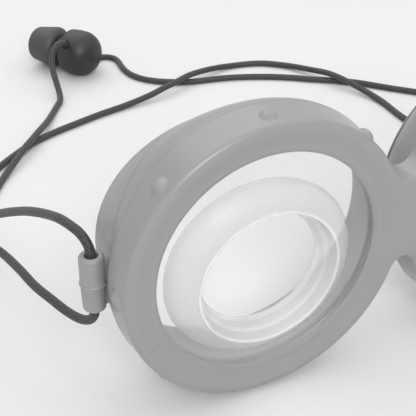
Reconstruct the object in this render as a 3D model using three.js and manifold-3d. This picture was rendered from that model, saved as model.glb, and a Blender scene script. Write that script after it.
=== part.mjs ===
// Swimming goggles: two round eyecups in one moulded front frame, on an elastic cord with a spring lock.
// Millimetres. X runs to the viewer's right, -Y is the way the lenses face and Z is up.
// The origin lies on the surface that the goggles stand on, midway between the eyecups.

import * as THREE from 'three';
import { mergeVertices } from 'three/addons/utils/BufferGeometryUtils.js';
import Module from 'manifold-3d';

const wasm = await Module();
wasm.setup();

// Fits
const SEAT_GAP = 0.3;
const BORE_GAP = 0.35;

// Front frame: a face that is flat beside the opening and rises to its rounded edge, and a scalloped skirt
const OPENING_RADIUS = 23.4;
const CHAMFER_WIDTH = 0.7;
const CHAMFER_DEPTH = 0.35;
const FACE_FLAT = 1.2;
const FACE_DISH = 0.9;
const FACE_WIDTH = 4.9;
const FACE_THICKNESS = 1.0;
const EDGE_ROUND = 1.7;
const SKIRT_WALL = 1.2;
const SKIRT_FLARE = 0.6;
const SKIRT_DEPTH = 8.8;
const SKIRT_DEPTH_TEMPLE = 6.4;
const SKIRT_DEPTH_NOSE = 4.3;
const TEMPLE_SCALLOP = [15, 52];
const NOSE_SCALLOP = [10, 46];

// Bridge: flush with the face's edge, with round notches above and below
const NOSE_GAP = 0.9;
const BRIDGE_DEPTH = 4.0;
const BRIDGE_BEVEL = 0.8;
const TOP_NOTCH_HEIGHT = 11.2;
const BOTTOM_NOTCH_HEIGHT = 7.8;

// Nubs round each ring, with none at the bridge
const NUB_COUNT = 8;
const NUB_RADIUS = 2.1;
const NUB_PROUD = 0.95;
const NUB_BACK = 2.7;

// Lens and its seal
const LENS_OVERLAP = 3.0;
const LENS_THICKNESS = 1.2;
const SEAL_SECTION = 1.3;

// Rear shell: a cup that deepens toward the temple
const SHELL_WALL = 1.6;
const SHELL_TAPER = 1.2;
const SHELL_DEPTH_TEMPLE = 21.0;
const SHELL_DEPTH_NOSE = 14.0;
const SHELL_DEPTH_POWER = 1.5;
const LIP_SETBACK = 1.2;
const LIP_THICKNESS = 1.2;

// Strap barrel on the shell's temple side
const BARREL_RADIUS = 2.45;
const BARREL_FOOT_RADIUS = 1.9;
const BARREL_RIDGE = 0.2;
const BARREL_HEIGHT = 12.3;
const BARREL_DROP = 0.9;
const BARREL_STANDOFF = 3.3;
const BARREL_CLEARANCE = 1.75;
const WEB_THICKNESS = 2.6;
const WEB_FLARE = 1.2;
const WEB_INSET = 0.9;
const WEB_CURVE = 2.0;
const WEB_BITE = 1.4;

// Inner ring: an oval silicone wedge behind the lens
const RING_WIDER = 0.9;
const RING_FRONT_RADIUS = 13.4;
const RING_FRONT_LIP = 0.6;
const RING_REAR_RADIUS = 18.9;
const RING_REAR_OPENING = 11.3;
const RING_DEPTH = 4.6;
const RING_RIM = 0.5;
const RING_RIM_START = -20;
const RING_WAIST_OUT = 2.4;
const RING_WAIST_BACK = 1.9;
const RING_TOWARD_NOSE = 1.0;
const RING_DROP = 4.6;

// Strap cord
const CORD_DIAMETER = 1.9;
const CORD_SIDES = 8;

// Cord lock
const LOCK_PLACE = [-12.8, 150.9];
const LOCK_HEADING = 125;
const LOCK_HOLE_TILT = 40;
const LOCK_RADIUS = 7.2;
const LOCK_DOME = 6.0;
const LOCK_MOUTH_RADIUS = 7.0;
const LOCK_MOUTH_BEVEL = 0.6;
const LOCK_MOUTH = 2.8;
const LOCK_END_WALL = 1.2;
const STEM_RADIUS = 3.4;
const STEM_END_WALL = 1.2;
const PLUNGER_TRAVEL = 2.2;
const PLUNGER_REST_GAP = 1.0;
const KNOB_RADIUS = 6.6;
const KNOB_LENGTH = 10.5;
const KNOB_TAPER = 1.0;
const KNOB_ROUND = 2.4;
const KNOB_DISH_RADIUS = 3.0;
const KNOB_DISH_DEPTH = 0.9;
const SPRING_WIRE = 0.5;
const SPRING_TURNS = 2.5;
const SPRING_LENGTH = 3.6;

// Fineness
const RING_SEGMENTS = 48;
const SMALL_SEGMENTS = 36;
const LOCK_SEGMENTS = 20;
const BARREL_SEGMENTS = 20;
const HOLE_SEGMENTS = 14;
const ROUND_STEPS = 4;
const SPRING_STEPS = 8;

// Worked out from the sizes above
const CORD_RADIUS = CORD_DIAMETER / 2;
const BORE_RADIUS = CORD_RADIUS + BORE_GAP;
const FACE_RADIUS = OPENING_RADIUS + FACE_WIDTH;
const EDGE_RADIUS = FACE_RADIUS + EDGE_ROUND;
const SKIRT_RADIUS = EDGE_RADIUS + SKIRT_FLARE;
const SKIRT_BORE = EDGE_RADIUS - SKIRT_WALL;
const EYE_OFFSET = SKIRT_RADIUS + NOSE_GAP / 2;
const LENS_FRONT = FACE_THICKNESS + SEAT_GAP;
const LENS_BACK = LENS_FRONT + LENS_THICKNESS;
const LENS_RADIUS = OPENING_RADIUS + LENS_OVERLAP;
const SHELL_FRONT = LENS_FRONT + Math.max(LENS_THICKNESS, SEAL_SECTION) + SEAT_GAP;
const SHELL_RADIUS = SKIRT_BORE - SEAT_GAP;
const LIP_RADIUS = OPENING_RADIUS + LIP_SETBACK;
const LIP_BACK = SHELL_FRONT + LIP_THICKNESS;
const BARREL_X = -(SHELL_RADIUS + BARREL_STANDOFF);
const BARREL_Y = SKIRT_DEPTH_TEMPLE + BARREL_CLEARANCE + BARREL_RADIUS;
const BARREL_Z = -BARREL_DROP;
const STAND_HEIGHT = EDGE_RADIUS + NUB_PROUD;
const FACE_PLACE = (FACE_DISH - SHELL_DEPTH_TEMPLE) / 2;
const STEM_BORE = STEM_RADIUS + SEAT_GAP;
const STEM_END = BORE_RADIUS + STEM_END_WALL;
const SPRING_END = STEM_END + SEAT_GAP + SPRING_LENGTH;
const LOCK_BORE_END = SPRING_END + SEAT_GAP;
const LOCK_END = LOCK_BORE_END + LOCK_END_WALL;
const KNOB_START = LOCK_MOUTH + PLUNGER_TRAVEL + PLUNGER_REST_GAP;

// A material with flat shading, from its colour and how matt it is.
function finish(color, roughness, metalness = 0) {
  return new THREE.MeshStandardMaterial({ color, roughness, metalness, flatShading: true });
}

const FRAME_PLASTIC = finish(0x9c9c9e, 0.45);
const SHELL_PLASTIC = finish(0xa8a8aa, 0.5);
const LENS_PLASTIC = finish(0xf0f2f3, 0.1);
const SILICONE = finish(0xdadcdd, 0.6);
const SEAL_RUBBER = finish(0x2b2b2d, 0.7);
const CORD_FABRIC = finish(0x55565a, 0.8);
const LOCK_PLASTIC = finish(0x3a3a3c, 0.5);
const KNOB_PLASTIC = finish(0x626264, 0.5);
const SPRING_STEEL = finish(0xb8b9ba, 0.3, 1);

// Merges shared corners, drops triangles that have closed up and turns the faces outward.
function closed(geometry) {
  geometry.deleteAttribute('normal');
  geometry.deleteAttribute('uv');
  const merged = mergeVertices(geometry, 1e-4);
  const at = merged.attributes.position;
  const corner = [0, 1, 2].map(() => new THREE.Vector3());
  const kept = [];
  let volume = 0;
  for (let i = 0; i < merged.index.count; i += 3) {
    const [a, b, c] = [0, 1, 2].map((k) => merged.index.getX(i + k));
    if (a === b || b === c || c === a) continue;
    kept.push(a, b, c);
    [a, b, c].forEach((index, k) => corner[k].fromBufferAttribute(at, index));
    volume += corner[0].dot(corner[1].cross(corner[2]));
  }
  if (volume < 0) kept.reverse();
  merged.setIndex(kept);
  return merged;
}

function solid(geometry) {
  return new wasm.Manifold(new wasm.Mesh({
    numProp: 3,
    vertProperties: new Float32Array(geometry.attributes.position.array),
    triVerts: new Uint32Array(geometry.index.array),
  }));
}

function geometryOf(manifold) {
  const { vertProperties, triVerts } = manifold.getMesh();
  const geometry = new THREE.BufferGeometry();
  geometry.setAttribute('position', new THREE.BufferAttribute(vertProperties, 3));
  geometry.setIndex(new THREE.BufferAttribute(triVerts, 1));
  return geometry;
}

// The same piece for the other eye: x changes sign and each face turns over.
function mirrored(geometry) {
  const copy = geometry.clone().scale(-1, 1, 1);
  copy.setIndex(Array.from(geometry.index.array).reverse());
  return copy;
}

// A solid of revolution about Y from a closed outline of [radius, y] points.
function revolved(outline, segments) {
  const points = [...outline, outline[0]].map(([radius, y]) => new THREE.Vector2(radius, y));
  return closed(new THREE.LatheGeometry(points, segments));
}

// Points on a quarter or half circle of an outline, from one angle to another in degrees.
function arc(x, y, radius, from, to, steps = ROUND_STEPS) {
  return Array.from({ length: steps + 1 }, (_, i) => {
    const angle = THREE.MathUtils.degToRad(from + (to - from) * i / steps);
    return [x + radius * Math.cos(angle), y + radius * Math.sin(angle)];
  });
}

// Degrees away from the nose direction of a point in the left eyecup, 0 to 180.
function awayFromNose(x, z) {
  return THREE.MathUtils.radToDeg(Math.abs(Math.atan2(z, x)));
}

function skirtDepth(away) {
  const temple = THREE.MathUtils.smoothstep(180 - away, ...TEMPLE_SCALLOP);
  const nose = THREE.MathUtils.smoothstep(away, ...NOSE_SCALLOP);
  const side = THREE.MathUtils.lerp(SKIRT_DEPTH_TEMPLE, SKIRT_DEPTH, temple);
  return THREE.MathUtils.lerp(SKIRT_DEPTH_NOSE, side, nose);
}

function shellDepth(away) {
  const share = ((1 - Math.cos(THREE.MathUtils.degToRad(away))) / 2) ** SHELL_DEPTH_POWER;
  return THREE.MathUtils.lerp(SHELL_DEPTH_NOSE, SHELL_DEPTH_TEMPLE, share);
}

// Stretches what lies behind `start` so that a rear edge at `nominal` follows the depth round the eyecup.
function scalloped(geometry, start, nominal, depthAt) {
  const at = geometry.attributes.position;
  for (let i = 0; i < at.count; i++) {
    const y = at.getY(i);
    if (y <= start) continue;
    const depth = depthAt(awayFromNose(at.getX(i), at.getZ(i)));
    at.setY(i, start + (y - start) * (depth - start) / (nominal - start));
  }
  return geometry;
}

function faceRing() {
  const rim = (SKIRT_RADIUS - SKIRT_BORE) / 2;
  const bend = EDGE_ROUND - FACE_DISH;
  const outline = [
    [OPENING_RADIUS, FACE_THICKNESS],
    [OPENING_RADIUS, CHAMFER_DEPTH],
    [OPENING_RADIUS + CHAMFER_WIDTH, 0],
    [OPENING_RADIUS + FACE_FLAT, 0],
    ...arc(FACE_RADIUS, bend, EDGE_ROUND, -90, 0),
    ...arc(SKIRT_RADIUS - rim, SKIRT_DEPTH - rim, rim, 0, 180),
    [SKIRT_BORE, FACE_THICKNESS],
  ];
  const ring = revolved(outline, RING_SEGMENTS);
  return scalloped(ring, Math.max(FACE_THICKNESS, bend), SKIRT_DEPTH, skirtDepth);
}

// The arc that touches both rings and comes to the given height midway between them.
function notch(height) {
  const radius = (height ** 2 + EYE_OFFSET ** 2 - EDGE_RADIUS ** 2) / (2 * (EDGE_RADIUS - height));
  const centre = height + radius;
  return { radius, centre, tilt: Math.atan2(centre, EYE_OFFSET) };
}

function bridge() {
  const top = notch(TOP_NOTCH_HEIGHT);
  const bottom = notch(BOTTOM_NOTCH_HEIGHT);
  const root = FACE_RADIUS - BRIDGE_BEVEL;
  const outline = new THREE.Shape();
  outline.absarc(-EYE_OFFSET, 0, root, -bottom.tilt, top.tilt, false);
  outline.absarc(0, top.centre, top.radius, top.tilt - Math.PI, -top.tilt, false);
  outline.absarc(EYE_OFFSET, 0, root, Math.PI - top.tilt, Math.PI + bottom.tilt, false);
  outline.absarc(0, -bottom.centre, bottom.radius, bottom.tilt, Math.PI - bottom.tilt, false);
  const block = new THREE.ExtrudeGeometry(outline, {
    depth: BRIDGE_DEPTH + FACE_DISH - 2 * BRIDGE_BEVEL,
    bevelThickness: BRIDGE_BEVEL,
    bevelSize: BRIDGE_BEVEL,
    bevelOffset: -BRIDGE_BEVEL,
    bevelSegments: 2,
    curveSegments: 8,
  });
  block.rotateX(Math.PI / 2).translate(0, BRIDGE_DEPTH - BRIDGE_BEVEL, 0);
  const hollow = new THREE.CylinderGeometry(SKIRT_BORE, SKIRT_BORE, SKIRT_DEPTH, RING_SEGMENTS);
  hollow.translate(EYE_OFFSET, FACE_THICKNESS + SKIRT_DEPTH / 2, 0);
  const right = closed(hollow);
  return solid(closed(block)).subtract(solid(right)).subtract(solid(mirrored(right)));
}

function nubs() {
  const beads = [];
  for (let i = 1; i < NUB_COUNT; i++) {
    const angle = 2 * Math.PI * i / NUB_COUNT;
    const reach = EDGE_RADIUS + NUB_PROUD - NUB_RADIUS;
    const bead = new THREE.SphereGeometry(NUB_RADIUS, 8, 8);
    bead.rotateZ(-Math.PI / 2).rotateY(-angle);
    bead.translate(reach * Math.cos(angle), NUB_BACK, reach * Math.sin(angle));
    beads.push(solid(closed(bead)));
  }
  const hollow = new THREE.CylinderGeometry(SKIRT_BORE, SKIRT_BORE, 2 * SKIRT_DEPTH, RING_SEGMENTS);
  return wasm.Manifold.union(beads).subtract(solid(closed(hollow)));
}

function frontFrame() {
  const left = geometryOf(solid(faceRing()).add(nubs())).translate(-EYE_OFFSET, 0, 0);
  return geometryOf(solid(left).add(solid(mirrored(left))).add(bridge()));
}

function lens() {
  const outline = [[0, LENS_FRONT], [LENS_RADIUS, LENS_FRONT], [LENS_RADIUS, LENS_BACK], [0, LENS_BACK]];
  return revolved(outline, SMALL_SEGMENTS);
}

function lensSeal() {
  const radius = SEAL_SECTION / 2;
  const ring = new THREE.TorusGeometry(LENS_RADIUS + SEAT_GAP + radius, radius, 6, SMALL_SEGMENTS);
  return closed(ring.rotateX(Math.PI / 2).translate(0, LENS_FRONT + radius, 0));
}

function strapBarrel() {
  const top = BARREL_HEIGHT / 2;
  const round = BARREL_RADIUS - BORE_RADIUS;
  const foot = BARREL_FOOT_RADIUS - BORE_RADIUS;
  const ridge = BARREL_RADIUS + BARREL_RIDGE;
  const outline = [
    [BORE_RADIUS, top],
    [BORE_RADIUS, -top],
    ...arc(BORE_RADIUS, foot - top, foot, -90, 0),
    [BARREL_RADIUS, -ridge / 2],
    [ridge, -BARREL_RIDGE],
    [ridge, BARREL_RIDGE],
    [BARREL_RADIUS, ridge / 2],
    ...arc(BORE_RADIUS, top - round, round, 0, 90),
  ];
  return revolved(outline, BARREL_SEGMENTS).rotateX(Math.PI / 2);
}

// The web that carries the barrel widens toward the shell.
function barrelWeb() {
  const reach = BARREL_STANDOFF + WEB_BITE;
  const half = WEB_THICKNESS / 2;
  const outline = new THREE.Shape();
  outline.moveTo(0, -half);
  outline.quadraticCurveTo(reach - WEB_CURVE, -half, reach, -half - WEB_FLARE);
  outline.lineTo(reach, half + WEB_FLARE);
  outline.quadraticCurveTo(reach - WEB_CURVE, half, 0, half);
  const height = BARREL_HEIGHT - 2 * WEB_INSET;
  const web = new THREE.ExtrudeGeometry(outline, { depth: height, bevelEnabled: false, curveSegments: 4 });
  return closed(web.translate(0, 0, -height / 2));
}

function rearShell() {
  const rim = SHELL_WALL / 2;
  const rear = SHELL_RADIUS - SHELL_TAPER - rim;
  const depth = SHELL_DEPTH_TEMPLE;
  const outline = [
    [LIP_RADIUS, LIP_BACK],
    [LIP_RADIUS, SHELL_FRONT],
    [SHELL_RADIUS - EDGE_ROUND / 2, SHELL_FRONT],
    [SHELL_RADIUS, SHELL_FRONT + EDGE_ROUND / 2],
    [SHELL_RADIUS, SKIRT_DEPTH],
    ...arc(rear, depth - rim, rim, 0, 180),
    [SHELL_RADIUS - SHELL_WALL, SKIRT_DEPTH],
    [SHELL_RADIUS - SHELL_WALL, LIP_BACK],
  ];
  const cup = solid(scalloped(revolved(outline, RING_SEGMENTS), LIP_BACK, depth, shellDepth));
  const place = [BARREL_X, BARREL_Y, BARREL_Z];
  const bore = closed(new THREE.CylinderGeometry(BORE_RADIUS, BORE_RADIUS, BARREL_HEIGHT, BARREL_SEGMENTS));
  const web = solid(barrelWeb()).subtract(solid(bore.rotateX(Math.PI / 2)));
  const barrel = solid(strapBarrel()).add(web).translate(place);
  return geometryOf(cup.add(barrel));
}

function innerRing() {
  const back = LENS_BACK + SEAT_GAP;
  const outline = [
    [RING_FRONT_RADIUS - RING_FRONT_LIP, back],
    [RING_FRONT_RADIUS, back],
    [RING_FRONT_RADIUS + RING_WAIST_OUT, back + RING_WAIST_BACK],
    ...arc(RING_REAR_RADIUS - RING_RIM, back + RING_DEPTH - RING_RIM, RING_RIM, RING_RIM_START, 90, 3),
    [RING_REAR_OPENING, back + RING_DEPTH],
  ];
  const oval = 1 + RING_WIDER / RING_REAR_RADIUS;
  return revolved(outline, SMALL_SEGMENTS).scale(oval, 1, 1).translate(RING_TOWARD_NOSE, 0, -RING_DROP);
}

// Cord

function cordTube(points, steps) {
  const ends = points.map((point) => new THREE.Vector3(...point));
  for (const [end, next] of [[0, 1], [ends.length - 1, ends.length - 2]]) {
    const inward = ends[next].clone().sub(ends[end]).setLength(SEAT_GAP / 2);
    ends[end].add(inward);
  }
  const section = new THREE.Shape();
  for (let i = 0; i < CORD_SIDES; i++) {
    const angle = 2 * Math.PI * i / CORD_SIDES;
    section.lineTo(CORD_RADIUS * Math.cos(angle), CORD_RADIUS * Math.sin(angle));
  }
  const extrudePath = new THREE.CatmullRomCurve3(ends);
  return closed(new THREE.ExtrudeGeometry(section, { steps, extrudePath, bevelEnabled: false }));
}

// The curl through a barrel, from above to below, measured from the barrel's middle on the left side.
const BARREL_CURL = [
  [-3.4, 14, 7.8], [-2.6, 8.5, 9.7], [-1.7, 4.8, 10], [-1.1, 3, 9.75], [-0.5, 1.45, 8.8], [-0.1, 0.45, 7.3],
  [0, 0.02, 5.4], [0, 0, 0], [0, 0, -6], [-0.1, 0.4, -8], [-0.6, 1.7, -9.9], [-1.6, 4.2, -11.2],
  [-3.1, 8.2, -11.6], [-4.6, 12.6, -11.3],
];

// The long stretch from the left barrel's top, round behind and to the right barrel's foot.
const LONG_RUN = [
  [-67.7, 22, 34.7], [-69, 29, 31], [-70.5, 36, 26.9], [-73, 46, 20.5], [-75.5, 56, 14], [-76, 67, 8],
  [-73, 78, 3.6], [-66.5, 88.5, 1.5], [-59, 96, 1], [-50.6, 102.9, 1], [-42.1, 108.8, 1], [-34.6, 112.2, 1],
  [-26.5, 114.8, 1], [-17.5, 117.4, 1], [-8.7, 119.1, 1.2], [-0.2, 120.6, 2], [5.6, 122.1, 2.8],
  [11.2, 124.1, 3.1], [16.2, 126.1, 3.3], [25.4, 129.8, 2], [34, 131, 1], [43.5, 128.5, 1],
  [50.6, 122.3, 1.2], [54.4, 115, 2.1], [57, 107.3, 3.3], [59.2, 101.5, 3], [61.6, 95.5, 2],
  [63.5, 87.5, 1.1], [63.2, 74.5, 1], [64, 60, 2.2], [67, 48, 6.5], [69.6, 37.5, 13], [70, 28, 17.4],
  [69.1, 19.4, 18.8],
];

// From the left barrel's foot toward the cord lock.
const LEFT_RUN = [
  [-69.1, 19.4, 18.7], [-70.1, 26, 18.7], [-71.5, 36, 17.5], [-73, 46, 14], [-72.5, 56, 9], [-70.5, 66, 4.5],
  [-66, 77, 1.6], [-60.5, 86, 1], [-54.9, 93.8, 1.2], [-50, 99.2, 2.1], [-45.8, 103.7, 3],
  [-42.4, 107.3, 3.2], [-39.3, 111.2, 3], [-35.2, 117.1, 1.9], [-31.9, 122.2, 1.2], [-28.2, 127.8, 1],
];

// The stretch through the cord lock, before and after the lock's hole.
const LOCK_ENTRY = [
  [-25.8, 131.2, 1.3], [-24.9, 134.2, 2.2], [-24.6, 137.2, 4], [-24.5, 139.8, 6.4], [-24.2, 141.8, 8.8],
  [-23.5, 143.25, 10.9], [-22.55, 144.15, 12.3], [-21.4, 144.95, 13.15], [-20.1, 145.8, 13.4],
  [-18.8, 146.7, 13.05],
];
const LOCK_EXIT = [
  [-6.5, 155.35, 1.3], [-5.1, 156.2, 1], [-3.1, 156.7, 0.96], [-0.9, 156.15, 0.96], [0.75, 154.6, 0.96],
  [1.5, 152.4, 0.96], [1.4, 149.8, 0.96],
];

// From the cord lock to the right barrel's top.
const RIGHT_RUN = [
  [1, 146.4, 1], [0.9, 142.8, 1], [1.5, 138.9, 1], [3.4, 134.9, 1], [6.5, 131.5, 1], [10.6, 128.7, 1],
  [16.2, 126, 1], [22.9, 124.6, 1], [29.3, 123.1, 1], [39.8, 118.7, 1], [46.8, 114.5, 1], [52, 110.6, 1],
  [57.3, 107, 1], [61.3, 104.2, 1], [65.1, 100.8, 1], [70.2, 95, 1], [75.6, 89.3, 1], [79.8, 84.4, 1.2],
  [82, 78.3, 2.2], [81.6, 71, 4.8], [79.2, 62, 9.8], [76.2, 53.5, 15.4], [73.5, 46, 20.5],
  [70.5, 36, 26.9], [69, 29, 31], [67.7, 22, 34.7],
];

const BARREL_STEPS = 14;
const LONG_STEPS = 30;
const LEFT_STEPS = 12;
const LOCK_STEPS = 24;
const RIGHT_STEPS = 18;

// Cord lock, built with its stroke along Y and its cord hole along X

function lockHole(radius, length) {
  return closed(new THREE.CylinderGeometry(radius, radius, length, HOLE_SEGMENTS).rotateZ(Math.PI / 2));
}

function lockBody() {
  const outline = [
    [0, -LOCK_END],
    ...arc(LOCK_RADIUS - LOCK_DOME, LOCK_DOME - LOCK_END, LOCK_DOME, -90, 0),
    [LOCK_RADIUS, 0],
    [LOCK_MOUTH_RADIUS, LOCK_MOUTH - LOCK_MOUTH_BEVEL],
    [LOCK_MOUTH_RADIUS - LOCK_MOUTH_BEVEL, LOCK_MOUTH],
    [STEM_BORE, LOCK_MOUTH],
    [STEM_BORE, -LOCK_BORE_END],
    [0, -LOCK_BORE_END],
  ];
  const hollow = solid(lockHole(BORE_RADIUS, 3 * LOCK_RADIUS));
  return geometryOf(solid(revolved(outline, LOCK_SEGMENTS)).subtract(hollow));
}

// The stem's slot lets the plunger travel past the cord.
function lockPlunger() {
  const end = KNOB_START + KNOB_LENGTH;
  const tip = KNOB_RADIUS - KNOB_TAPER;
  const outline = [
    [0, -STEM_END],
    [STEM_RADIUS, -STEM_END],
    [STEM_RADIUS, KNOB_START],
    ...arc(KNOB_RADIUS - KNOB_ROUND, KNOB_START + KNOB_ROUND, KNOB_ROUND, -90, 0),
    ...arc(tip - KNOB_ROUND, end - KNOB_ROUND, KNOB_ROUND, 0, 90),
    [KNOB_DISH_RADIUS, end],
    [KNOB_DISH_RADIUS - KNOB_DISH_DEPTH, end - KNOB_DISH_DEPTH],
    [0, end - KNOB_DISH_DEPTH],
  ];
  const slot = new THREE.Shape();
  slot.absarc(0, 0, BORE_RADIUS, Math.PI, 2 * Math.PI, false);
  slot.absarc(0, PLUNGER_TRAVEL, BORE_RADIUS, 0, Math.PI, false);
  const length = 3 * STEM_RADIUS;
  const cut = new THREE.ExtrudeGeometry(slot, { depth: length, bevelEnabled: false, curveSegments: 8 });
  cut.translate(0, 0, -length / 2).rotateY(Math.PI / 2);
  return geometryOf(solid(revolved(outline, LOCK_SEGMENTS)).subtract(solid(closed(cut))));
}

class SpringLine extends THREE.Curve {
  constructor(radius, start, length, turns) {
    super();
    Object.assign(this, { radius, start, length, turns });
  }

  getPoint(t, target = new THREE.Vector3()) {
    const angle = 2 * Math.PI * this.turns * t;
    const y = this.start + this.length * t;
    return target.set(this.radius * Math.cos(angle), y, this.radius * Math.sin(angle));
  }
}

function lockSpring() {
  const wire = SPRING_WIRE / 2;
  const length = SPRING_LENGTH - 2 * wire;
  const line = new SpringLine(STEM_RADIUS - 2 * wire, wire - SPRING_END, length, SPRING_TURNS);
  const section = new THREE.Shape();
  section.absarc(0, 0, wire, 0, 2 * Math.PI, false);
  const steps = Math.round(SPRING_STEPS * SPRING_TURNS);
  return closed(new THREE.ExtrudeGeometry(section, {
    steps, extrudePath: line, bevelEnabled: false, curveSegments: 3,
  }));
}

// Assembly

function piece(name, geometry, material) {
  const mesh = new THREE.Mesh(geometry, material);
  mesh.name = name;
  return mesh;
}

const goggles = new THREE.Group();
goggles.name = 'swimming_goggles';

const front = new THREE.Group();
front.position.set(0, FACE_PLACE, STAND_HEIGHT);
front.add(piece('front_frame', frontFrame(), FRAME_PLASTIC));
for (const [label, make, material] of [
  ['lens', lens, LENS_PLASTIC],
  ['lens_seal', lensSeal, SEAL_RUBBER],
  ['rear_shell', rearShell, SHELL_PLASTIC],
  ['inner_ring', innerRing, SILICONE],
]) {
  const left = make().translate(-EYE_OFFSET, 0, 0);
  front.add(piece(`left_${label}`, left, material));
  front.add(piece(`right_${label}`, mirrored(left), material));
}
goggles.add(front);

const heading = THREE.MathUtils.degToRad(LOCK_HEADING);
const tilt = THREE.MathUtils.degToRad(LOCK_HOLE_TILT);
const stroke = new THREE.Vector3(Math.cos(heading), Math.sin(heading), 0);
const level = new THREE.Vector3(-Math.sin(heading), Math.cos(heading), 0);
const hole = level.multiplyScalar(Math.cos(tilt)).add(new THREE.Vector3(0, 0, Math.sin(tilt)));
const lock = new THREE.Group();
lock.position.set(...LOCK_PLACE, LOCK_RADIUS);
lock.setRotationFromMatrix(new THREE.Matrix4().makeBasis(hole, stroke, hole.clone().cross(stroke)));
lock.add(piece('cord_lock_body', lockBody(), LOCK_PLASTIC));
lock.add(piece('cord_lock_plunger', lockPlunger(), KNOB_PLASTIC));
lock.add(piece('cord_lock_spring', lockSpring(), SPRING_STEEL));
goggles.add(lock);

// A point on the cord hole's axis, measured from the middle of the lock.
function inHole(distance) {
  return lock.position.clone().addScaledVector(hole, distance).toArray();
}

const barrelMiddle = [BARREL_X - EYE_OFFSET, BARREL_Y + FACE_PLACE, STAND_HEIGHT + BARREL_Z];
const leftCurl = BARREL_CURL.map((offset) => offset.map((value, axis) => value + barrelMiddle[axis]));
const rightCurl = leftCurl.map(([x, y, z]) => [-x, y, z]);
const [leftTop, leftFoot] = [leftCurl[0], leftCurl.at(-1)];
const [rightTop, rightFoot] = [rightCurl[0], rightCurl.at(-1)];
const mouth = LOCK_RADIUS + SEAT_GAP;
const throughLock = [mouth, mouth / 2, -mouth / 2, -mouth].map(inHole);
const lockCurl = [...LOCK_ENTRY, ...throughLock, ...LOCK_EXIT];
for (const [name, points, steps] of [
  ['strap_cord_left_barrel', leftCurl, BARREL_STEPS],
  ['strap_cord_right_barrel', rightCurl, BARREL_STEPS],
  ['strap_cord_lock', lockCurl, LOCK_STEPS],
  ['strap_cord_long', [leftTop, ...LONG_RUN, rightFoot], LONG_STEPS],
  ['strap_cord_left', [leftFoot, ...LEFT_RUN, lockCurl[0]], LEFT_STEPS],
  ['strap_cord_right', [lockCurl.at(-1), ...RIGHT_RUN, rightTop], RIGHT_STEPS],
]) {
  goggles.add(piece(name, cordTube(points, steps), CORD_FABRIC));
}

export default goggles;
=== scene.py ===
# %% [markdown]
# # Swimming goggles
#
# Two round eyecups share one moulded front frame. Behind each clear lens sits a deeper rear shell with a
# strap barrel, and an elastic cord runs through both barrels to a spring cord lock on the floor behind. The
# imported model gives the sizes, the places and the one joint. This script dresses it: each visible piece is
# worked out again as a smooth surface with numpy, in the same place, and gets the finish of its real
# material.

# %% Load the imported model
import math
import bmesh
import bpy
import numpy as np
from mathutils import Matrix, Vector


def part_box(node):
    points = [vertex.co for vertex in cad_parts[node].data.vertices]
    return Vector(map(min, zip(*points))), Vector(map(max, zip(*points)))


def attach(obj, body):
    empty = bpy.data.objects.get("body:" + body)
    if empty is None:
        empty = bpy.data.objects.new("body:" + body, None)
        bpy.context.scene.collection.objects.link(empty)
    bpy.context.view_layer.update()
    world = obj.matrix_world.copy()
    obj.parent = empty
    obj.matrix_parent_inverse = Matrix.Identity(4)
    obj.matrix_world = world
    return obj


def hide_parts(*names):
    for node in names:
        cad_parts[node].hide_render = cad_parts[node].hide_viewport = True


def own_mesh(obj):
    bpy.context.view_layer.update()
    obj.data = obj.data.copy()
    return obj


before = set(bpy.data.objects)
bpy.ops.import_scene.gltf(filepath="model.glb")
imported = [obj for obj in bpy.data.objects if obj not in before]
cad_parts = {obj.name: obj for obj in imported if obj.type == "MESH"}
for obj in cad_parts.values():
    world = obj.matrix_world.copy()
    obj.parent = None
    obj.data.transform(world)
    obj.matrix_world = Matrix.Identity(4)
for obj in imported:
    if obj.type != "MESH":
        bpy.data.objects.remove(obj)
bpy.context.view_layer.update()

MM = 0.001
FACE_DISH = 0.9
lens_low, lens_high = (np.array(corner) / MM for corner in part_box("left_lens"))
frame_low = np.array(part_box("front_frame")[0]) / MM
lens_middle = (lens_low + lens_high) / 2
EYE = np.array([lens_middle[0], frame_low[1] + FACE_DISH, lens_middle[2]])
print("left eyecup's middle on the opening's plane, mm:", EYE.round(2))

# %% [markdown]
# ## The camera
#
# The camera was worked out from the photograph's two ring outlines: an ellipse fixes the direction that a
# circle is seen from, and two of them on one plane fix the distance too. A long lens from close above the
# left eyecup gives the frame its crop, so the right eyecup only just enters the picture.

# %% Camera at the photograph's place
VIEW_AZIMUTH = math.radians(-26.22)
VIEW_ELEVATION = math.radians(32.36)
VIEW_FROM_EYE = np.array([-80.9, -137.5, 113.3])
LENS_MM = 89.2
SENSOR_MM = 36


def put(name, data):
    """A new object that shows this data, in the scene at the origin."""
    made = bpy.data.objects.new(name, data)
    bpy.context.scene.collection.objects.link(made)
    return made


def stand(made, side, up, back, place):
    """Stands an object at a place in metres, with its X, Y and Z along three directions."""
    matrix = np.eye(4)
    matrix[:3] = np.stack([side, up, back, place], axis=1)
    made.matrix_world = Matrix(matrix.tolist())


right = np.array([math.cos(VIEW_AZIMUTH), math.sin(VIEW_AZIMUTH), 0])
up = np.array([
    -math.sin(VIEW_AZIMUTH) * math.sin(VIEW_ELEVATION),
    math.cos(VIEW_AZIMUTH) * math.sin(VIEW_ELEVATION),
    math.cos(VIEW_ELEVATION),
])
camera = put("camera", bpy.data.cameras.new("camera"))
stand(camera, right, up, np.cross(right, up), (EYE + VIEW_FROM_EYE) * MM)
camera.data.lens = LENS_MM
camera.data.sensor_width = SENSOR_MM
bpy.context.scene.camera = camera
print("camera stands at, mm:", (EYE + VIEW_FROM_EYE).round(1))

# %% [markdown]
# ## Tools for surfaces
#
# Every piece below is a grid of points: one parameter runs along an outline, the other round an axis or
# along a path. Whole arrays make the points at once, and the quads between neighbours follow from the grid's
# size. A few helpers turn such grids into one welded mesh whose faces point outwards.

# %% Grid helpers


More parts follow.
